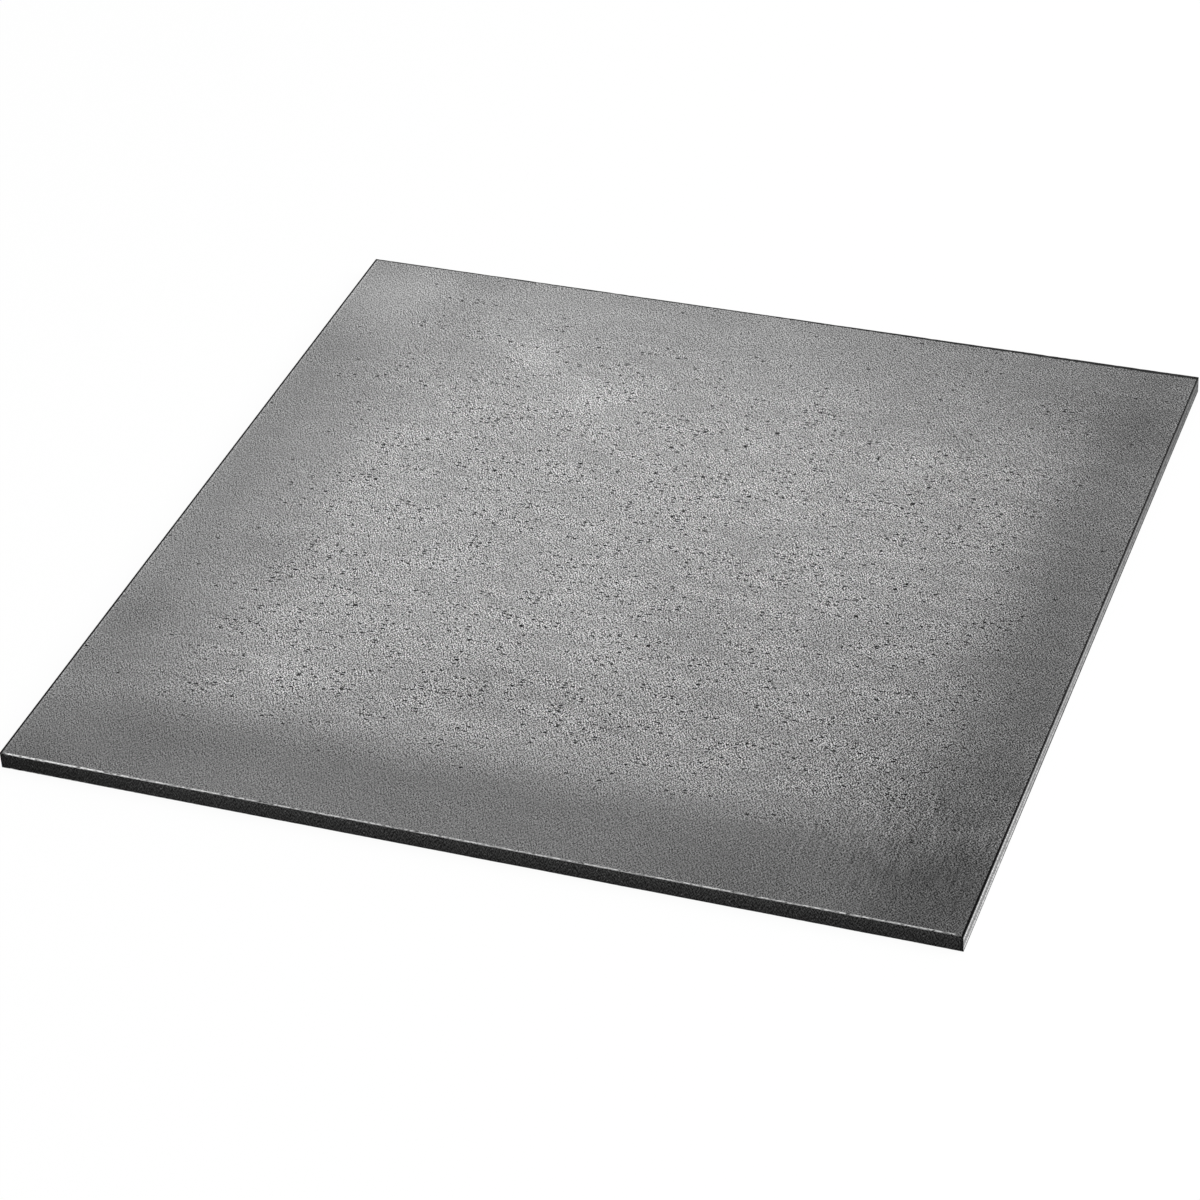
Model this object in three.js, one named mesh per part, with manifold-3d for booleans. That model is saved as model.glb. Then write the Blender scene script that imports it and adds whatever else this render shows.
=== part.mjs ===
// A square blank of hot-rolled steel plate, lying flat.
//
// Millimetres. +X runs along the rolling direction, +Y across it and +Z up. The origin is the
// middle of the bottom face.
//
// The plate is one piece of steel with two kinds of edge. The front and back edges are mill edges:
// they came off the rolls, so all their arrises are round. The left and right edges are cuts across
// the rolled bar. Their faces are square to the plate, and their arrises are only eased: more at the
// top, where the cut began, and less at the bottom, where it came out. The cuts run straight
// through the rolled arrises, so the plate's corners are sharp in plan and show the bar's section.

import * as THREE from 'three';
import { mergeVertices } from 'three/addons/utils/BufferGeometryUtils.js';
import Module from 'manifold-3d';

// The plate.
const LENGTH = 300;
const WIDTH = 300;
const THICKNESS = 6;

// The mill edges, top and bottom alike.
const MILL_ARRIS_RADIUS = 0.5;

// The cut edges.
const CUT_TOP_ARRIS_RADIUS = 0.35;
const CUT_BOTTOM_ARRIS_RADIUS = 0.2;

// Facets round the larger arris where a mill edge and a cut edge meet.
const ARRIS_FACETS = 10;

// How far each bar runs past the plate before the two are intersected.
const OVERRUN = 5;

const ALONG_ROLLING = new THREE.Vector3(1, 0, 0);
const ACROSS_ROLLING = new THREE.Vector3(0, 1, 0);
const UP = new THREE.Vector3(0, 0, 1);

const wasm = await Module();
wasm.setup();

// How deep below a flat face the facet lines of its arrises lie. A mill edge and a cut edge have
// theirs at the same depths, set by the larger radius, so that the two meet point to point at the
// corners and leave no slivers there.
function facetDepths(cutArrisRadius) {
  const largerRadius = Math.max(MILL_ARRIS_RADIUS, cutArrisRadius);
  const depths = [];
  for (let facet = 0; facet <= ARRIS_FACETS; facet += 1) {
    const turn = (facet / ARRIS_FACETS) * (Math.PI / 2);
    depths.push(largerRadius * (1 - Math.cos(turn)));
  }
  return depths;
}

// How far a quarter-round arris stands back from the edge face, at a depth below the flat face.
function arrisSetback(radius, depth) {
  const leftToGo = Math.max(radius - depth, 0);
  return radius - Math.sqrt(radius ** 2 - leftToGo ** 2);
}

// The plate's section between two like edges, standing on the baseline and centred on it. Its right
// side is worked out from the bottom face up, and its left side is the same mirrored.
function sectionShape(breadth, topArrisRadius, bottomArrisRadius) {
  const rightSide = facetDepths(CUT_BOTTOM_ARRIS_RADIUS).map(
    (depth) => new THREE.Vector2(breadth / 2 - arrisSetback(bottomArrisRadius, depth), depth),
  );
  for (const depth of facetDepths(CUT_TOP_ARRIS_RADIUS).reverse()) {
    const setback = arrisSetback(topArrisRadius, depth);
    rightSide.push(new THREE.Vector2(breadth / 2 - setback, THICKNESS - depth));
  }
  const leftSide = rightSide.map((point) => new THREE.Vector2(-point.x, point.y)).reverse();
  return new THREE.Shape([...rightSide, ...leftSide]);
}

// A bar of one section, centred on the origin. The section's breadth lies along one unit axis, its
// height goes up and the bar runs along the other, so the turn into place is exact.
function barOf(section, breadthAxis, barAxis, barLength) {
  const bar = new THREE.ExtrudeGeometry(section, { depth: barLength, bevelEnabled: false });
  bar.translate(0, 0, -barLength / 2);
  bar.applyMatrix4(new THREE.Matrix4().makeBasis(breadthAxis, UP, barAxis));
  return bar;
}

// The bar as it was rolled, between its two mill edges.
function rolledBar() {
  const section = sectionShape(WIDTH, MILL_ARRIS_RADIUS, MILL_ARRIS_RADIUS);
  return barOf(section, ACROSS_ROLLING, ALONG_ROLLING, LENGTH + 2 * OVERRUN);
}

// What the two cuts leave of anything that they go through.
function cutLength() {
  const section = sectionShape(LENGTH, CUT_TOP_ARRIS_RADIUS, CUT_BOTTOM_ARRIS_RADIUS);
  const towardsFront = ACROSS_ROLLING.clone().negate();
  return barOf(section, ALONG_ROLLING, towardsFront, WIDTH + 2 * OVERRUN);
}

// A closed geometry as a solid that can be cut.
function solidOf(geometry) {
  const shell = geometry.clone();
  shell.deleteAttribute('normal');
  shell.deleteAttribute('uv');
  const merged = mergeVertices(shell);
  const mesh = new wasm.Mesh({
    numProp: 3,
    vertProperties: new Float32Array(merged.attributes.position.array),
    triVerts: new Uint32Array(merged.index.array),
  });
  return new wasm.Manifold(mesh);
}

// A solid back as a geometry, with one flat normal to each facet.
function geometryOf(solid) {
  const mesh = solid.getMesh();
  const indexed = new THREE.BufferGeometry();
  indexed.setAttribute('position', new THREE.BufferAttribute(mesh.vertProperties, 3));
  indexed.setIndex(new THREE.BufferAttribute(mesh.triVerts, 1));
  const faceted = indexed.toNonIndexed();
  faceted.computeVertexNormals();
  return faceted;
}

// Mill scale, the dull grey oxide skin that hot rolling leaves on the steel.
function millScale() {
  return new THREE.MeshStandardMaterial({ color: 0x8f8f8f, roughness: 0.55, metalness: 0.6 });
}

function plate() {
  const steel = solidOf(rolledBar()).intersect(solidOf(cutLength()));
  const mesh = new THREE.Mesh(geometryOf(steel), millScale());
  mesh.name = 'plate';
  return mesh;
}

const steelPlate = new THREE.Group();
steelPlate.name = 'steel_plate';
steelPlate.add(plate());

export default steelPlate;
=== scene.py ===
"""The looks of a square blank of hot-rolled steel plate, lying on a pale studio floor.

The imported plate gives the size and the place. Its one piece is built again here as a finer mesh, with the
wear on its rolled arrises and the tool marks on its cut edges, and gets its steel from procedural nodes.

Lengths are in millimetres, until MM turns them into Blender's metres. +X runs along the rolling direction,
+Y from the front mill edge to the back one and +Z up.
"""

import math

import bpy
import numpy as np
from mathutils import Matrix, Vector, noise
from mathutils.geometry import delaunay_2d_cdt


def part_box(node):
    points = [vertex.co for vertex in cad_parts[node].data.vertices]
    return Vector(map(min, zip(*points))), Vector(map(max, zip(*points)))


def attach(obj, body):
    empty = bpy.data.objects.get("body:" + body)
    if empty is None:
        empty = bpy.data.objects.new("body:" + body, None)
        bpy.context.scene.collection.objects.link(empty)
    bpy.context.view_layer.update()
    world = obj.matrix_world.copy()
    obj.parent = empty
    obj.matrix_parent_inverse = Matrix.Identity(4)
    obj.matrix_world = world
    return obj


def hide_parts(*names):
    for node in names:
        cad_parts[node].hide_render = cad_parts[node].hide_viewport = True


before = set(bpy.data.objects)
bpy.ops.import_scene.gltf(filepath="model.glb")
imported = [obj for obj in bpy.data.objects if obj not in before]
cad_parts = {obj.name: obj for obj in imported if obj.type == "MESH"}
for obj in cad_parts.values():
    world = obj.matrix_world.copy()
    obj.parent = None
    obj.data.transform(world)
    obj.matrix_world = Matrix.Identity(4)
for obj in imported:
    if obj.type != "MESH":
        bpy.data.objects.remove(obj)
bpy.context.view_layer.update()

MM = 0.001

# The plate, from the frame.
LOW, HIGH = (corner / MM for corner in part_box("plate"))
LENGTH, WIDTH, THICKNESS = HIGH - LOW

# The arrises, as in the part: round on the mill edges, only eased on the cut edges.
MILL_RADIUS = 0.5
CUT_TOP_RADIUS = 0.35
CUT_BOTTOM_RADIUS = 0.2

# Wear on the mill arrises: how much their radius wanders and chatters, over what lengths, and the nicks in
# them, with the least and the greatest share of the full depth and length that one has.
RADIUS_WANDER = 0.12
WANDER_LENGTH = 14.0
CHATTER = 0.05
CHATTER_LENGTH = 1.6
NICKS_PER_EDGE = 26
NICK_DEPTH = 0.16
NICK_DEPTH_SHARES = (0.3, 1.0)
NICK_LENGTH = 0.9
NICK_LENGTH_SHARES = (0.5, 1.6)
NICK_SEED = 7

# Relief of the mill edges' faces.
SCALE_RELIEF = 0.02
SCALE_RELIEF_LENGTH = 1.2

# Scores on the cut edges' faces: their full depth, pitch and slant, the share of the depth that they lie
# about, and two sets of them. A set has its scores to a pitch, its change with height, its share of the
# depth and a seed.
SAW_RELIEF = 0.03
SAW_PITCH = 1.5
SAW_SLANT = 0.35
SAW_MIDDLE = 0.5
SAW_SCORES = ((1.0, 0.3, 0.35, 0.0), (3.1, 0.5, 0.15, 3.0))

# The mesh of the edges: columns along X and Y, and rows on each arris and on the face between.
COLUMN_PITCH = 0.6
COLUMNS = (round(LENGTH / COLUMN_PITCH), round(WIDTH / COLUMN_PITCH))
ARRIS_ROWS = 9
FACE_ROWS = 8

# The mesh of the flat faces: how far in each ring of points lies, the pitch of the grid inside them, and
# the gap between the two as a share of that pitch.
CAP_RING_GAPS = (1.2, 2.6, 5.5, 11.0)
CAP_PITCH = 12.0
CAP_GRID_GAP = 0.6

# What delaunay_2d_cdt is asked for, triangles inside the outline, and how near two points count as one.
INSIDE_TRIANGLES = 1
SAME_POINT = 1e-6

# The steel's tones are grey levels as the eye sees them, from 0 to 1: the darkest that there is, and the
# power that turns them into light.
DARKEST_TONE = 0.02
EYE_TO_LIGHT = 2.2

# A noise below has the size of its features along X, Y and Z, its detail, its roughness and a seed. An
# ease has where it starts, where it ends, and its values at the two. A seed shifts its noise along this line.
SEED_DIRECTION = (1.0, 0.7, 1.3)

# How metallic the oxide looks, the strength of its clear gloss, and its roughness with slow changes.
SCALE_METAL = 0.7
SPECULAR = 0.2
ROUGHNESS = 0.5
ROUGHNESS_CHANGE = 0.15
ROUGHNESS_NOISE = ((9.0, 5.0, 5.0), 3.0, 0.6, 83.0)

# The oxide of the flat faces, and the clouds in it.
SCALE_TONE = 0.617
CLOUD_TONE = 0.05
CLOUD_NOISE = ((34.0, 24.0, 30.0), 5.0, 0.62, 17.0)

# The dark margins of that oxide, and the pale rims of some, are partly the oxide's own tone and partly
# painted
# light: a sheen that falls off towards the edges, and painted highlights on the pale rims. Each has the share
# of the tone that it takes off, the distance from the edge up to which it takes all of it, and the distance
# at which it ends. A noise warps them.
FRONT_MARGINS = ((0.155, 21.0, 45.0), (0.11, 30.0, 130.0))
BACK_MARGINS = ((0.04, 3.0, 14.0), (0.04, 5.0, 80.0))
LEFT_MARGINS = ((-0.14, 0.9, 2.2), (0.04, 8.0, 24.0), (0.075, 8.0, 70.0))
RIGHT_MARGINS = ((-0.05, 0.9, 2.5), (0.24, 8.0, 47.0), (0.12, 15.0, 150.0))
MARGIN_WARP = 0.2
MARGIN_WARP_NOISE = ((40.0, 40.0, 40.0), 3.0, 0.5, 3.0)

# Patches in the top face's tone, partly the oxide's own and partly painted sheen: middle x and y, half
# length, half width, turn in degrees, change of tone. They count at any height up to this.
PATCH_HEIGHT = 1e4
PATCHES = (
    (-66, 98, 58, 20, -40, 0.07),
    (-70, 104, 18, 13, -40, 0.05),
    (-42, 82, 20, 13, -40, 0.04),
    (-88, -88, 24, 34, 10, 0.05),
    (-8, -56, 18, 20, 0, 0.025),
    (84, -73, 22, 9, 0, 0.03),
    (67, 73, 22, 18, 0, 0.02),
    (-22, -76, 36, 24, 20, -0.045),
    (42, -68, 15, 6, 10, -0.05),
    (30, 2, 22, 28, 0, -0.03),
    (-70, 33, 28, 9, -10, -0.03),
    (60, 112, 12, 26, 10, -0.035),
    (-138, -72, 18, 18, 0, -0.06),
    (63, 147, 24, 5, 0, -0.07),
    (112, 128, 60, 44, -35, -0.1),
    (-138, 132, 40, 48, 0, 0.2),
    (-140, -135, 40, 28, 0, 0.08),
    (62, -38, 70, 42, 0, -0.045),
    (45, 128, 60, 30, 0, -0.03),
    (-78, 140, 70, 36, 0, 0.08),
    (-40, 92, 20, 40, 0, 0.03),
    (144, 142, 44, 36, 0, 0.1),
    (-148, -126, 30, 36, 0, 0.1),
    (90, -82, 48, 32, 0, -0.04),
    (150, -40, 30, 64, 0, -0.04),
    (114, -60, 44, 130, 0, -0.07),
    (60, 88, 60, 24, 0, -0.035),
    (75, 104, 30, 30, 0, -0.035),
    (76, -146, 40, 20, 0, -0.05),
    (-112, -34, 50, 26, 0, -0.04),
    (25, -30, 44, 34, 0, -0.03),
    (104, 10, 30, 80, 0, -0.025),
    (26, -14, 150, 140, 0, -0.04),
    (-75, -146, 76, 18, 0, 0.035),
    (146, 80, 18, 60, 0, 0.05),
    (130, -98, 44, 40, 0, -0.045),
    (30, -80, 90, 28, 0, -0.025),
    (95, 62, 44, 50, 0, -0.035),
    (-146, -146, 26, 20, 0, -0.06),
    (146, -146, 22, 18, 0, 0.05),
    (-115, -28, 50, 34, 0, -0.03),
)

# The grain of the scale, cells of random tone: their size, the neighbours that each is set against and by
# what share, how much deeper its hollows are than its crests are high, and its depth in the tone and as
# relief. A coarser noise joins it towards the back, over this range of y.
GRAIN_SIZE = (0.2, 0.32, 1.0)
GRAIN_HOLLOWS = ((0.42, 0.0, 0.0), (-0.42, 0.0, 0.0), (0.0, 0.7, 0.0), (0.0, -0.7, 0.0))
GRAIN_HOLLOW_SHARE = 0.17
GRAIN_SKEW = 0.62
GRAIN_TONE = 0.86
COARSE_NOISE = ((0.56, 0.88, 0.8), 1.0, 0.5, 9.0)
COARSE_SHARE = 0.2
COARSE_RANGE = (20.0, 130.0)
GRAIN_RELIEF = 0.003

# Short rolled-in marks, gathered in drifts, where the grain is stronger too. A share of the cells of this
# size have one each, with a ragged outline.
DRIFT_NOISE = ((22.0, 7.0, 10.0), 3.0, 0.6, 31.0)
DRIFT_LEVELS = (-0.35, 0.3)
DRIFT_GRAIN = 0.45
MARK_SPACING = (2.6, 1.15, 1.0)
MARK_SHARE = 0.26
MARK_RADIUS = 0.29
MARK_TONE = -5.2
MARK_SEED = 19.0
RAGGED_SIZE = (0.9, 0.6, 0.6)
RAGGED_REACH = (0.5, 0.2, 0.0)

# Specks rubbed bright, on a share of the cells of this size.
SPECK_SPACING = (4.4, 3.4, 3.4)
SPECK_SHARE = 0.2
SPECK_RADIUS = 0.15
SPECK_TONE = 0.08
SPECK_SEED = 57.0

# Marks and specks alike: how far within the share a cell's lot lies when its spot is full size, the
# strength of the faintest, how rare strong ones are, and how far in from its rim a spot has its full
# strength.
SPOT_RANGE = 0.06
SPOT_LEAST = 0.3
SPOT_RARITY = 2.0
SPOT_FADE = 0.02

# How much of this detail is left at each edge, how far in it starts to grow, and how far in it is all
# there.
FRONT_CALM = (0.37, 20.0, 60.0)
BACK_CALM = (0.56, 0.0, 90.0)
LEFT_CALM = (0.48, 10.0, 60.0)
RIGHT_CALM = (0.56, 10.0, 50.0)

# Fine streaks across the rolling, near the front right corner.
STREAK_NOISE = ((0.42, 9.0, 2.0), 1.0, 0.4, 71.0)
STREAK_TONE = 0.18
STREAK_PATCH = (124, -108, 66, 72, 0)

# How squarely a surface faces along an axis as it turns from an arris into an edge face.
FACING = (0.9, 0.99)

# Wear along the arrises, and how far it moves the ends of the painted highlight and of the painted dark lines
# there.
WEAR_NOISE = ((1.8, 0.7, 0.7), 3.0, 0.65, 23.0)
WEAR_REACH = 0.7

# The back arris, painted dark as shade: its width as an ease along x, and its end.
BACK_ARRIS_SHADE_TONE = 0.12
BACK_ARRIS_WIDTH = (-40.0, HIGH.x, 0.35, 1.25)
BACK_ARRIS_END = (0.45, 0.8, 1.0, 0.0)

# The mill edges' dark faces, dark scale with painted shade on it: their tone as an ease along x, the grain's
# depth in it and pale flecks. The tone then changes with the distance from the right end, darkens near the
# floor as a painted shadow, and changes from there up.
MILL_SCALE_AND_SHADE_TONE = (LOW.x, -90.0, 0.12, 0.175)
MILL_GRAIN = 0.26
FLECK_NOISE = ((0.9, 0.5, 0.5), 2.0, 0.6, 43.0)
FLECK_TONE = (0.2, 0.5, 0.0, 0.2)
MILL_RIGHT_END = (0.5, 1.2, 0.6, 1.0)
MILL_FOOT_SHADE = (0.3, 1.2, 0.75, 1.0)
MILL_HEIGHT = (1.0, THICKNESS, 0.96, 1.12)

# The rubbed front arrises, with a painted highlight on their wear: their tone, what the wear adds to it, and
# where they end on the flat face, on the edge face and at the cuts. At the left end they are wider and
# brighter.
RUBBED_HIGHLIGHT_TONE = 0.74
RUBBED_HIGHLIGHT_WEAR = 1.4
RUBBED_HIGHLIGHT_ON_FLAT = (0.3, 0.55, 1.0, 0.0)
RUBBED_HIGHLIGHT_ON_EDGE = (0.2, 0.45, 1.0, 0.0)
RUBBED_HIGHLIGHT_AT_CUT = (0.5, 3.0)
LEFT_END = (LOW.x, -40.0, 1.0, 0.0)
LEFT_END_WIDENING = 0.12
LEFT_END_HIGHLIGHT_TONE = 0.14

# The cut edges' bright faces: their tone as an ease along y, their scores, and a brighter strip along the
# arrises, as an ease away from the flat faces with a tone that is an ease along y.
CUT_TONE = (-40.0, HIGH.y, 0.525, 0.23)
SCORE_NOISE = ((0.5, 0.45, 4.0), 3.0, 0.65, 37.0)
SCORE_TONE = 0.6
STRIP_DEPTH = (1.5, 2.3, 1.0, 0.0)
STRIP_TONE = (-90.0, 90.0, 0.3, 0.26)

# The dark line along a cut edge's arrises, painted shade. It ends where the distance from the edge face and
# the one from the flat face, each times its factor, come to enough together. Two of the factors are eases
# along y.
SHADE_LINE_TONE = 0.03
LINE_ON_RIGHT = (-130.0, -60.0, 1.15, 2.0)
LINE_ON_LEFT = 0.87
LINE_BELOW = (-130.0, -60.0, 1.0, 0.55)
LINE_WEAR = 0.1
LINE_END = (0.58, 0.85, 1.0, 0.0)

# The studio. Its tones are shares of full light.
FLOOR_SIZE = 8000.0
FLOOR_TONE = 0.08
FLOOR_GLOW = 0.932
SKY_LIGHT = 0.5
LAMP_SIZE = 1800.0
LAMP_AT = (1700.0, 300.0, 1600.0)
LAMP_WATTS = 36.0

# The camera looks at a point on the top face, from a direction round from the front and up from the floor.
AIM = (-1.53, -26.47)
AZIMUTH = 21.55
ELEVATION = 35.65
ROLL = 3.37
CAMERA_DISTANCE = 1220.8
LENS = 116.6
SENSOR = 36.0


def setback(radius, depth):
    """How far a quarter-round arris stands back from its edge face, at a depth below the flat face."""
    left_to_go = max(radius - depth, 0.0)
    return radius - math.sqrt(radius * radius - left_to_go * left_to_go)


def noise_at(x, y, z, size, seed):
    """Smooth noise from -1 to 1 whose features are about size long."""
    return noise.noise(Vector((x / size + seed, y / size, z / size)))


class MillEdge:
    """A front or back edge: a rolled face between two round, worn arrises."""

    def __init__(self, seed):
        rng = np.random.default_rng(NICK_SEED + seed)
        self.seed = 10.0 * seed
        self.nick_at = rng.uniform(LOW.x, HIGH.x, NICKS_PER_EDGE)
        self.nick_depth = NICK_DEPTH * rng.uniform(*NICK_DEPTH_SHARES, NICKS_PER_EDGE)
        self.nick_length = NICK_LENGTH * rng.uniform(*NICK_LENGTH_SHARES, NICKS_PER_EDGE)

    def inset(self, along, depth, top):
        """How far the surface stands back from the edge face, at a place along it and a depth."""
        # Each noise is shifted by a seed of its own, so that no two arrises are alike.
        seed = self.seed + (0.0 if top else 5.0)
        wander = noise_at(along, 0, 0, WANDER_LENGTH, seed)
        chatter = noise_at(along, 0, 0, CHATTER_LENGTH, seed + 2)
        radius = MILL_RADIUS + RADIUS_WANDER * wander + CHATTER * chatter
        inset = setback(radius, depth)
        if top:
            away = (along - self.nick_at) / self.nick_length
            notch = (self.nick_depth * np.exp(-away * away)).max()
            inset += notch * math.exp(-((depth / MILL_RADIUS) ** 2))
        relief = noise_at(along, depth, 0, SCALE_RELIEF_LENGTH, seed + 4)
        return inset + SCALE_RELIEF * 0.5 * (1 + relief)


class CutEdge:
    """A left or right edge: a bright cut face, scored by the blade, with small eased arrises."""

    def __init__(self, seed):
        self.seed = 10.0 * seed

    def inset(self, along, depth, top):
        radius = CUT_TOP_RADIUS if top else CUT_BOTTOM_RADIUS
        height = THICKNESS - depth if top else depth
        stroke = (along + SAW_SLANT * height) / SAW_PITCH
        level = SAW_MIDDLE
        for scores, change, share, seed in SAW_SCORES:
            level += share * noise.noise(Vector((scores * stroke, change * height, self.seed + seed)))
        return setback(radius, depth) + SAW_RELIEF * level


def levels():
    """The heights of the mesh's rows, each as (depth from the nearer flat face, whether that is the top)."""
    largest = MILL_RADIUS + RADIUS_WANDER + CHATTER
    arris = [largest * (1 - math.cos(row / ARRIS_ROWS * math.pi / 2)) for row in range(ARRIS_ROWS + 1)]
    step = (THICKNESS - 2 * largest) / FACE_ROWS
    face = [largest + step * row for row in range(1, FACE_ROWS)]
    rows = [(depth, True) for depth in arris]
    for depth in face:
        near_top = depth <= THICKNESS / 2
        rows.append((depth if near_top else THICKNESS - depth, near_top))
    return rows + [(depth, False) for depth in reversed(arris)]


def outline(depth, top, edges):
    """One level's outline, counter-clockwise seen from above: a list of (x, y, z)."""
    front, right, back, left = edges
    z = HIGH.z - depth if top else LOW.z + depth

    def inwards(face, inset):
        return face - math.copysign(inset, face)

    def corner(mill, cut, x_end, y_end):
        return inwards(x_end, cut.inset(y_end, depth, top)), inwards(y_end, mill.inset(x_end, depth, top))

    corners = (
        corner(front, left, LOW.x, LOW.y),
        corner(front, right, HIGH.x, LOW.y),
        corner(back, right, HIGH.x, HIGH.y),
        corner(back, left, LOW.x, HIGH.y),
    )
    sides = ((front, 0, LOW.y), (right, 1, HIGH.x), (back, 0, HIGH.y), (left, 1, LOW.x))
    points = []
    for side, (edge, axis, face) in enumerate(sides):
        start, end = corners[side], corners[(side + 1) % 4]
        points.append((*start, z))
        for column in range(1, COLUMNS[axis]):
            along = start[axis] + (end[axis] - start[axis]) * column / COLUMNS[axis]
            across = inwards(face, edge.inset(along, depth, top))
            points.append((across, along, z) if axis else (along, across, z))
    return points


def cap_points():
    """Points inside a flat face: rings, each twice as widely spaced as the one outside it, then a grid."""
    points = []
    for ring, gap in enumerate(CAP_RING_GAPS):
        half_x = LENGTH / 2 - gap
        half_y = WIDTH / 2 - gap
        pitch = COLUMN_PITCH * 2 ** (ring + 1)
        steps_x = round(2 * half_x / pitch)
        steps_y = round(2 * half_y / pitch)
        for step in range(steps_x):
            share = 2 * step / steps_x - 1
            points += [(half_x * share, -half_y), (-half_x * share, half_y)]
        for step in range(steps_y):
            share = 2 * step / steps_y - 1
            points += [(half_x, half_y * share), (-half_x, -half_y * share)]
    inner = CAP_RING_GAPS[-1] + CAP_PITCH * CAP_GRID_GAP
    across_x = np.linspace(inner - LENGTH / 2, LENGTH / 2 - inner, round(LENGTH / CAP_PITCH))
    across_y = np.linspace(inner - WIDTH / 2, WIDTH / 2 - inner, round(WIDTH / CAP_PITCH))
    return points + [(x, y) for x in across_x for y in across_y]


def cap(loop, z, facing_up, vertices, faces):
    """Closes the opening inside a loop of vertices with small, even triangles."""
    rim = [Vector(vertices[index][:2]) for index in loop]
    inside = [Vector(point) for point in cap_points()]
    ring = [(step, (step + 1) % len(rim)) for step in range(len(rim))]
    points, _, triangles, sources, _, _ = delaunay_2d_cdt(
        rim + inside, ring, [], INSIDE_TRIANGLES, SAME_POINT
    )
    index_of = []
    for point, source in zip(points, sources):
        if source[0] < len(rim):
            index_of.append(loop[source[0]])
        else:
            index_of.append(len(vertices))
            vertices.append((point.x, point.y, z))
    for triangle in triangles:
        corners = [index_of[index] for index in triangle]
        faces.append(corners if facing_up else corners[::-1])


def plate_mesh():
    """The whole plate as one closed mesh, smooth round its edges and sharp at its four upright corners."""
    edges = (MillEdge(1), CutEdge(2), MillEdge(3), CutEdge(4))
    rows = levels()
    vertices = []
    for depth, top in rows:
        vertices += outline(depth, top, edges)
    around = len(vertices) // len(rows)
    faces = []
    for row in range(len(rows) - 1):
        upper = row * around
        lower = upper + around
        for column in range(around):
            beside = (column + 1) % around
            faces.append((upper + column, lower + column, lower + beside, upper + beside))
    walls = len(faces)
    cap(range(around), HIGH.z, True, vertices, faces)
    cap(range((len(rows) - 1) * around, len(rows) * around), LOW.z, False, vertices, faces)

    mesh = bpy.data.meshes.new("plate_skin")
    mesh.from_pydata([[MM * value for value in vertex] for vertex in vertices], [], faces)
    mesh.polygons.foreach_set("use_smooth", [index < walls for index in range(len(faces))])
    columns_x, columns_y = COLUMNS
    corners = {0, columns_x, columns_x + columns_y, 2 * columns_x + columns_y}
    for edge in mesh.edges:
        a, b = edge.vertices
        if a < around * len(rows) and abs(a - b) == around and a % around in corners:
            edge.use_edge_sharp = True
    mesh.validate()
    return mesh


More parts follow.
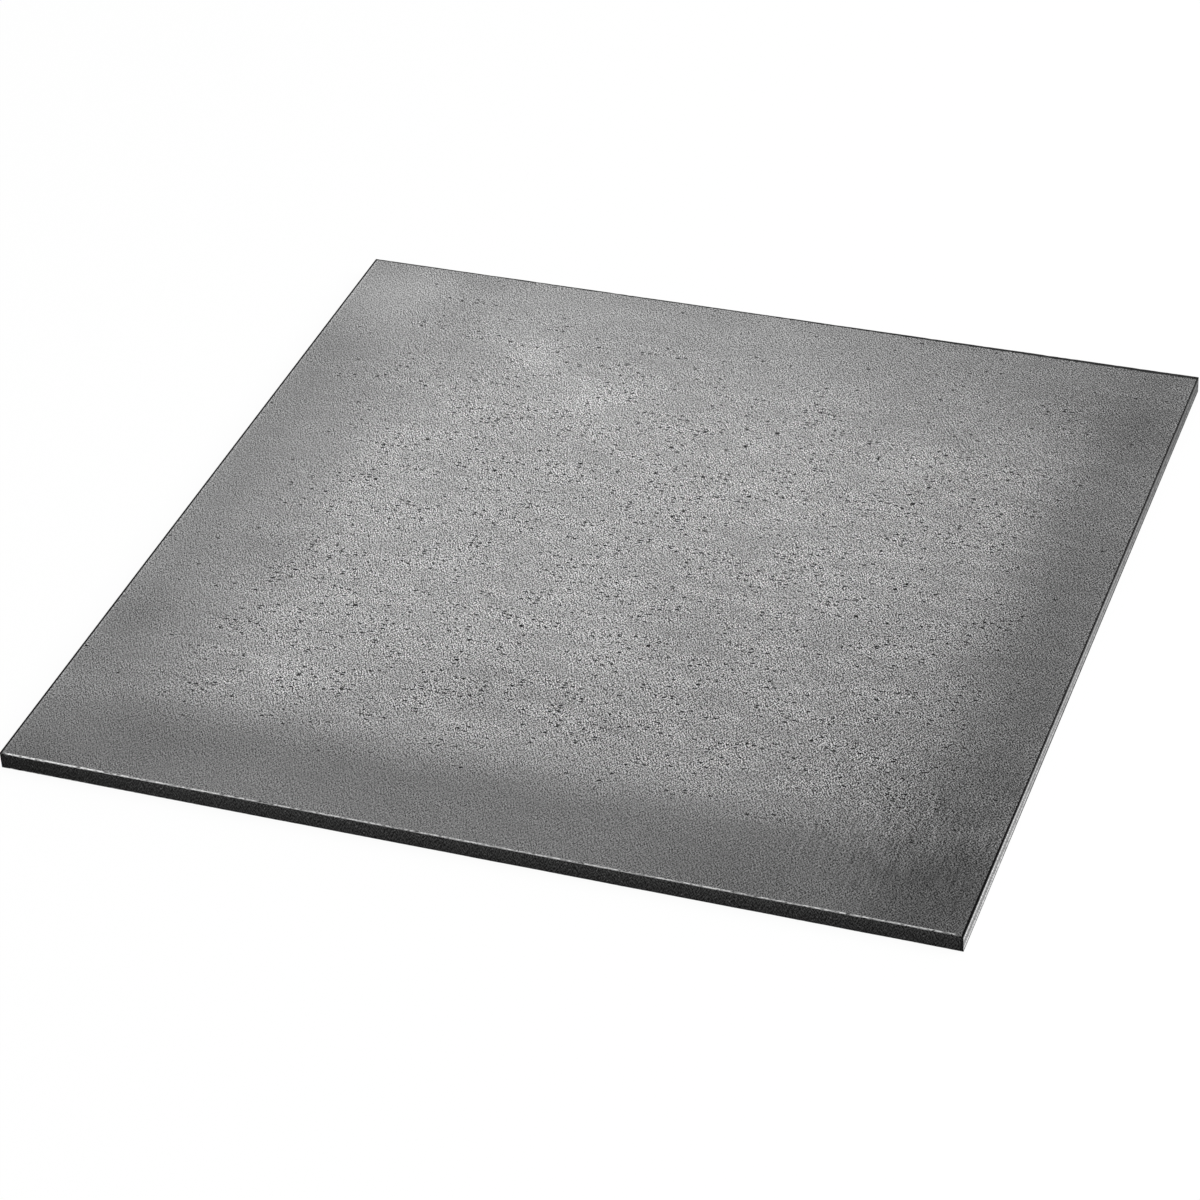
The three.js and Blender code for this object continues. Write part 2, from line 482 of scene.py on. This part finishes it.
class Nodes:
    """A node tree, with short ways to add its nodes. A value is a number, a vector or a node's output."""

    def __init__(self, tree):
        self.tree = tree
        tree.nodes.clear()

    def add(self, kind, inputs=(), **settings):
        node = self.tree.nodes.new(kind)
        for name, value in settings.items():
            setattr(node, name, value)
        for name, value in dict(inputs).items():
            self.feed(node.inputs[name], value)
        return node

    def feed(self, socket, value):
        if isinstance(value, bpy.types.NodeSocket):
            self.tree.links.new(value, socket)
        else:
            socket.default_value = value

    def math(self, operation, first, second=0.0):
        node = self.add("ShaderNodeMath", operation=operation)
        self.feed(node.inputs[0], first)
        self.feed(node.inputs[1], second)
        return node.outputs[0]

    def plus(self, first, second):
        return self.math("ADD", first, second)

    def times(self, first, second):
        return self.math("MULTIPLY", first, second)

    def vector(self, operation, first, second):
        node = self.add("ShaderNodeVectorMath", operation=operation)
        self.feed(node.inputs[0], first)
        self.feed(node.inputs[1], second)
        return node.outputs[0]

    def join(self, x, y, z):
        return self.add("ShaderNodeCombineXYZ", {"X": x, "Y": y, "Z": z}).outputs[0]

    def length(self, value):
        node = self.add("ShaderNodeVectorMath", operation="LENGTH")
        self.feed(node.inputs[0], value)
        return node.outputs["Value"]

    def ease(self, value, start, end, low=0.0, high=1.0):
        """low up to start, high from end on, and a smooth change between them."""
        inputs = {"Value": value, "From Min": start, "From Max": end, "To Min": low, "To Max": high}
        return self.add("ShaderNodeMapRange", inputs, interpolation_type="SMOOTHSTEP").outputs[0]

    def mix(self, share, first, second):
        """first where share is 0 and second where it is 1."""
        inputs = {"Factor": share, "A": first, "B": second}
        return self.add("ShaderNodeMix", inputs, data_type="FLOAT").outputs[0]

    def seeded(self, place, size, seed):
        """The place in units of size, shifted by the seed."""
        shift = [seed * part for part in SEED_DIRECTION]
        return self.vector("ADD", self.vector("DIVIDE", place, size), shift)

    def noise(self, place, size, detail, roughness, seed):
        """Noise about 0, from roughly -1 to 1, with features of this size along X, Y and Z."""
        moved = self.seeded(place, size, seed)
        inputs = {"Vector": moved, "Scale": 1.0, "Detail": detail, "Roughness": roughness}
        made = self.add("ShaderNodeTexNoise", inputs, noise_dimensions="3D")
        return self.times(self.plus(made.outputs[0], -0.5), 2.0)

    def grains(self, place, size):
        """Grains of about this size, each of one random level from -0.5 to 0.5."""
        inputs = {"Vector": self.vector("DIVIDE", place, size), "Scale": 1.0}
        cells = self.add("ShaderNodeTexVoronoi", inputs, voronoi_dimensions="2D")
        lots = self.add("ShaderNodeSeparateColor", {"Color": cells.outputs["Color"]}).outputs
        return self.plus(lots["Red"], -0.5)

    def ragged(self, place, size, reach):
        """The place, moved about by noise with features of this size, to make what is drawn there ragged."""
        made = self.add("ShaderNodeTexNoise", {"Vector": self.vector("DIVIDE", place, size), "Scale": 1.0})
        moved = self.vector("SUBTRACT", made.outputs["Color"], (0.5, 0.5, 0.5))
        return self.vector("ADD", place, self.vector("MULTIPLY", moved, reach))

    def patch(self, place, x, y, half_length, half_width, turn):
        """1 in the middle of an oval, fading smoothly to 0 at its rim."""
        inputs = {
            "Vector": place,
            "Location": (x, y, 0.0),
            "Rotation": (0.0, 0.0, math.radians(turn)),
            "Scale": (half_length, half_width, PATCH_HEIGHT),
        }
        oval = self.add("ShaderNodeMapping", inputs, vector_type="TEXTURE").outputs[0]
        return self.ease(self.length(oval), 0.0, 1.0, 1.0, 0.0)


def specks(nodes, place, spacing, share, radius, seed):
    """Scattered spots, one in each of a share of the cells, and 0 between them. Most of them are faint."""
    inputs = {"Vector": nodes.seeded(place, spacing, seed), "Scale": 1.0}
    cells = nodes.add("ShaderNodeTexVoronoi", inputs, voronoi_dimensions="2D")
    lots = nodes.add("ShaderNodeSeparateColor", {"Color": cells.outputs["Color"]}).outputs
    size = nodes.ease(nodes.math("SUBTRACT", share, lots["Red"]), 0.0, SPOT_RANGE, 0.0, radius)
    inside = nodes.math("SUBTRACT", size, cells.outputs["Distance"])
    strength = nodes.mix(nodes.math("POWER", lots["Green"], SPOT_RARITY), SPOT_LEAST, 1.0)
    return nodes.times(nodes.ease(inside, 0.0, SPOT_FADE), strength)


class Surface:
    """Where a shaded point is on the plate, in millimetres, and how its surface faces."""

    def __init__(self, nodes):
        texture = nodes.add("ShaderNodeTexCoord")
        self.place = nodes.vector("MULTIPLY", texture.outputs["Object"], (1 / MM,) * 3)
        self.x, self.y, self.z = nodes.add("ShaderNodeSeparateXYZ", {"Vector": self.place}).outputs
        # The flat faces and the mill edges unrolled into one plane.
        self.unrolled = nodes.join(self.x, nodes.plus(self.y, self.z), 0.0)
        geometry = nodes.add("ShaderNodeNewGeometry")
        facing = nodes.add("ShaderNodeSeparateXYZ", {"Vector": geometry.outputs["Normal"]}).outputs
        self.end_on = nodes.math("ABSOLUTE", facing["X"])
        self.side_on = nodes.math("ABSOLUTE", facing["Y"])
        # Distances from the four edge faces and from the nearer flat face.
        self.from_left = nodes.plus(self.x, -LOW.x)
        self.from_right = nodes.math("SUBTRACT", HIGH.x, self.x)
        self.from_front = nodes.plus(self.y, -LOW.y)
        self.from_back = nodes.math("SUBTRACT", HIGH.y, self.y)
        self.from_edges = (self.from_front, self.from_back, self.from_left, self.from_right)
        self.from_cut = nodes.math("MINIMUM", self.from_left, self.from_right)
        above, below = nodes.math("SUBTRACT", HIGH.z, self.z), nodes.plus(self.z, -LOW.z)
        self.depth = nodes.math("MINIMUM", above, below)
        self.on_top = nodes.math("GREATER_THAN", self.z, THICKNESS / 2)


def oxide_and_sheen(nodes, surface):
    """The slow changes in the scale's tone over the flat faces, partly its own and partly painted sheen."""
    warp = nodes.times(nodes.noise(surface.place, *MARGIN_WARP_NOISE), MARGIN_WARP)
    stretch = nodes.plus(warp, 1.0)
    tone = SCALE_TONE
    # The margins and patches below are partly the oxide's own tone and partly painted sheen.
    edges = (FRONT_MARGINS, BACK_MARGINS, LEFT_MARGINS, RIGHT_MARGINS)
    for distance, margins in zip(surface.from_edges, edges):
        warped = nodes.times(distance, stretch)
        for share, full, end in margins:
            tone = nodes.times(tone, nodes.ease(warped, full, end, 1.0 - share, 1.0))
    change = nodes.times(nodes.noise(surface.place, *CLOUD_NOISE), CLOUD_TONE)
    for *oval, amount in PATCHES:
        patch = nodes.patch(surface.place, *oval)
        change = nodes.plus(change, nodes.times(nodes.times(patch, surface.on_top), amount))
    return nodes.times(tone, nodes.plus(change, 1.0))


def scale_grain(nodes, surface):
    """The grain of the scale: crests and deeper hollows about 0."""
    grain = nodes.grains(surface.unrolled, GRAIN_SIZE)
    for offset in GRAIN_HOLLOWS:
        beside = nodes.grains(nodes.vector("ADD", surface.unrolled, offset), GRAIN_SIZE)
        grain = nodes.plus(grain, nodes.times(beside, -GRAIN_HOLLOW_SHARE))
    grain = nodes.times(grain, nodes.plus(nodes.times(grain, -GRAIN_SKEW), 1.0))
    coarse = nodes.noise(surface.place, *COARSE_NOISE)
    return nodes.plus(grain, nodes.times(coarse, nodes.ease(surface.y, *COARSE_RANGE, 0.0, COARSE_SHARE)))


def calm_margins(nodes, surface):
    """How much of the fine detail there is: 1 in the middle, and less near the edges."""
    calm = 1.0
    edges = (FRONT_CALM, BACK_CALM, LEFT_CALM, RIGHT_CALM)
    for distance, (left, start, end) in zip(surface.from_edges, edges):
        calm = nodes.math("MINIMUM", calm, nodes.ease(distance, start, end, left, 1.0))
    return calm


def fine_detail(nodes, surface, grain):
    """The change of tone that the grain, rolled-in marks, bright specks and streaks make."""
    place = surface.place
    calm = calm_margins(nodes, surface)
    drifts = nodes.ease(nodes.noise(place, *DRIFT_NOISE), *DRIFT_LEVELS)
    share = nodes.times(nodes.times(drifts, nodes.times(calm, calm)), MARK_SHARE)
    ragged = nodes.ragged(place, RAGGED_SIZE, RAGGED_REACH)
    marks = specks(nodes, ragged, MARK_SPACING, share, MARK_RADIUS, MARK_SEED)
    rubbed_and_highlight = specks(nodes, place, SPECK_SPACING, SPECK_SHARE, SPECK_RADIUS, SPECK_SEED)
    depth = nodes.plus(nodes.times(drifts, GRAIN_TONE * DRIFT_GRAIN), GRAIN_TONE)
    fine = nodes.plus(nodes.times(marks, MARK_TONE), nodes.times(grain, depth))
    fine = nodes.times(nodes.plus(fine, nodes.times(rubbed_and_highlight, SPECK_TONE)), calm)
    streaks = nodes.noise(place, *STREAK_NOISE)
    streaked = nodes.times(nodes.patch(place, *STREAK_PATCH), surface.on_top)
    return nodes.plus(fine, nodes.times(nodes.times(streaks, streaked), STREAK_TONE))


def mill_edges(nodes, surface, tone, grain, wear):
    """The tone with the mill edges in it, their faces and back arris darkened with painted shade and their
    front arrises given a painted highlight, and where their faces are, from 0 to 1.
    """
    ragged = nodes.times(wear, WEAR_REACH)
    # The back arris is painted dark as shade.
    width = nodes.ease(surface.x, *BACK_ARRIS_WIDTH)
    behind = nodes.math("SUBTRACT", nodes.plus(surface.from_back, ragged), width)
    tone = nodes.mix(nodes.ease(behind, *BACK_ARRIS_END), tone, BACK_ARRIS_SHADE_TONE)

    face = nodes.ease(surface.side_on, *FACING)
    flecks = nodes.ease(nodes.noise(surface.place, *FLECK_NOISE), *FLECK_TONE)
    # The mill faces: dark scale, darkened further with painted shade, and a painted shadow at their foot.
    scale_and_shade = nodes.plus(nodes.ease(surface.x, *MILL_SCALE_AND_SHADE_TONE), nodes.times(grain, MILL_GRAIN))
    scale_and_shade = nodes.plus(scale_and_shade, flecks)
    scale_and_shade = nodes.times(scale_and_shade, nodes.ease(surface.from_right, *MILL_RIGHT_END))
    scale_and_shade = nodes.times(scale_and_shade, nodes.ease(surface.z, *MILL_FOOT_SHADE))
    scale_and_shade = nodes.times(scale_and_shade, nodes.ease(surface.z, *MILL_HEIGHT))
    tone = nodes.mix(face, tone, scale_and_shade)

    # The bright line along the front arrises is a painted highlight, broken up by the wear.
    at_left = nodes.ease(surface.x, *LEFT_END)
    on_flat = nodes.ease(nodes.plus(surface.from_front, ragged), *RUBBED_HIGHLIGHT_ON_FLAT)
    below = nodes.plus(nodes.plus(surface.depth, ragged), nodes.times(at_left, -LEFT_END_WIDENING))
    on_arris = nodes.times(on_flat, nodes.ease(below, *RUBBED_HIGHLIGHT_ON_EDGE))
    worn_highlight_share = nodes.times(on_arris, nodes.ease(surface.from_cut, *RUBBED_HIGHLIGHT_AT_CUT))
    rubbed_and_highlight = nodes.plus(nodes.times(at_left, LEFT_END_HIGHLIGHT_TONE), RUBBED_HIGHLIGHT_TONE)
    return nodes.mix(worn_highlight_share, tone, nodes.plus(rubbed_and_highlight, nodes.times(wear, RUBBED_HIGHLIGHT_WEAR))), face


def cut_edges(nodes, surface, tone, wear):
    """The tone with the cut edges in it, and where the dark lines of painted shade on their arrises are, from
    0 to 1.
    """
    face = nodes.ease(surface.end_on, *FACING)
    sheared = nodes.join(surface.x, nodes.plus(surface.y, surface.z), surface.z)
    scores = nodes.noise(sheared, *SCORE_NOISE)
    strip = nodes.times(nodes.ease(surface.depth, *STRIP_DEPTH), nodes.ease(surface.y, *STRIP_TONE))
    bright = nodes.plus(nodes.ease(surface.y, *CUT_TONE), strip)
    bright = nodes.plus(bright, nodes.times(scores, SCORE_TONE))
    tone = nodes.mix(face, tone, bright)

    # The dark line along the cut arrises is painted shade.
    on_right = nodes.times(surface.from_right, nodes.ease(surface.y, *LINE_ON_RIGHT))
    on_left = nodes.times(surface.from_left, LINE_ON_LEFT)
    beside = nodes.math("MINIMUM", on_right, on_left)
    below = nodes.times(surface.depth, nodes.ease(surface.y, *LINE_BELOW))
    reach = nodes.plus(nodes.plus(beside, below), nodes.times(wear, LINE_WEAR))
    shade_line = nodes.ease(reach, *LINE_END)
    return nodes.mix(shade_line, tone, SHADE_LINE_TONE), shade_line


def new_material(name):
    """A material and its emptied node tree."""
    material = bpy.data.materials.new(name)
    material.use_nodes = True
    return material, Nodes(material.node_tree)


def new_object(name, data):
    made = bpy.data.objects.new(name, data)
    bpy.context.scene.collection.objects.link(made)
    return made


def steel_material():
    material, nodes = new_material("hot_rolled_steel")
    surface = Surface(nodes)
    grain = scale_grain(nodes, surface)
    fine = fine_detail(nodes, surface, grain)
    wear = nodes.noise(surface.place, *WEAR_NOISE)
    tone = nodes.plus(oxide_and_sheen(nodes, surface), fine)
    tone, mill_face = mill_edges(nodes, surface, tone, grain, wear)
    tone, cut_shade_line = cut_edges(nodes, surface, tone, wear)

    grey = nodes.math("POWER", nodes.math("MAXIMUM", tone, DARKEST_TONE), EYE_TO_LIGHT)
    colour = nodes.add("ShaderNodeCombineColor", {"Red": grey, "Green": grey, "Blue": grey})
    metal = nodes.mix(nodes.math("MAXIMUM", mill_face, cut_shade_line), SCALE_METAL, 1.0)
    slow = nodes.noise(surface.place, *ROUGHNESS_NOISE)
    rough = nodes.plus(ROUGHNESS, nodes.times(slow, ROUGHNESS_CHANGE))
    bump = nodes.add("ShaderNodeBump", {"Strength": 1.0, "Distance": GRAIN_RELIEF * MM, "Height": fine})
    shader = nodes.add(
        "ShaderNodeBsdfPrincipled",
        {
            "Base Color": colour.outputs[0],
            "Metallic": metal,
            "Roughness": rough,
            "Specular IOR Level": SPECULAR,
            "Normal": bump.outputs[0],
        },
    )
    nodes.add("ShaderNodeOutputMaterial", {"Surface": shader.outputs[0]})
    return material


def plate():
    skin = new_object("plate_skin", plate_mesh())
    skin.data.materials.append(steel_material())
    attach(skin, "root")
    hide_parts("plate")


def seen_directly(nodes):
    """1 for what the camera sees, straight or in a reflection, and 0 for what lights other surfaces."""
    path = nodes.add("ShaderNodeLightPath").outputs
    reflected = nodes.math("MAXIMUM", path["Is Glossy Ray"], path["Is Transmission Ray"])
    return nodes.math("MAXIMUM", path["Is Camera Ray"], reflected)


def floor():
    material, nodes = new_material("studio_floor")
    paint = nodes.add("ShaderNodeBsdfDiffuse", {"Color": (FLOOR_TONE,) * 3 + (1.0,)})
    glow = nodes.add("ShaderNodeEmission", {"Strength": nodes.times(seen_directly(nodes), FLOOR_GLOW)})
    both = nodes.add("ShaderNodeAddShader")
    nodes.feed(both.inputs[0], paint.outputs[0])
    nodes.feed(both.inputs[1], glow.outputs[0])
    nodes.add("ShaderNodeOutputMaterial", {"Surface": both.outputs[0]})

    half = FLOOR_SIZE / 2 * MM
    height = LOW.z * MM
    mesh = bpy.data.meshes.new("studio_floor")
    corners = [(-half, -half, height), (half, -half, height), (half, half, height), (-half, half, height)]
    mesh.from_pydata(corners, [], [(0, 1, 2, 3)])
    mesh.materials.append(material)
    ground = new_object("studio_floor", mesh)


def sky():
    world = bpy.data.worlds.new("studio")
    world.use_nodes = True
    nodes = Nodes(world.node_tree)
    strength = nodes.mix(seen_directly(nodes), SKY_LIGHT, 1.0)
    shine = nodes.add("ShaderNodeBackground", {"Color": (1.0,) * 4, "Strength": strength})
    nodes.add("ShaderNodeOutputWorld", {"Surface": shine.outputs[0]})
    bpy.context.scene.world = world


def lamp():
    light = bpy.data.lights.new("softbox", "AREA")
    light.shape = "SQUARE"
    light.size = LAMP_SIZE * MM
    light.energy = LAMP_WATTS
    softbox = new_object("softbox", light)
    softbox.location = [MM * value for value in LAMP_AT]
    softbox.rotation_euler = (-softbox.location).to_track_quat("-Z", "Y").to_euler()


def camera():
    azimuth, elevation = math.radians(AZIMUTH), math.radians(ELEVATION)
    towards = Vector((
        math.sin(azimuth) * math.cos(elevation),
        -math.cos(azimuth) * math.cos(elevation),
        math.sin(elevation),
    ))
    lens = bpy.data.cameras.new("camera")
    lens.sensor_width = SENSOR
    lens.lens = LENS
    viewer = new_object("camera", lens)
    turn = towards.to_track_quat("Z", "Y").to_matrix().to_4x4() @ Matrix.Rotation(-math.radians(ROLL), 4, "Z")
    aim = Vector((AIM[0], AIM[1], HIGH.z))
    viewer.matrix_world = Matrix.Translation((aim + CAMERA_DISTANCE * towards) * MM) @ turn
    bpy.context.scene.camera = viewer


camera()
plate()
floor()
sky()
lamp()
bpy.context.scene.view_settings.view_transform = "Standard"
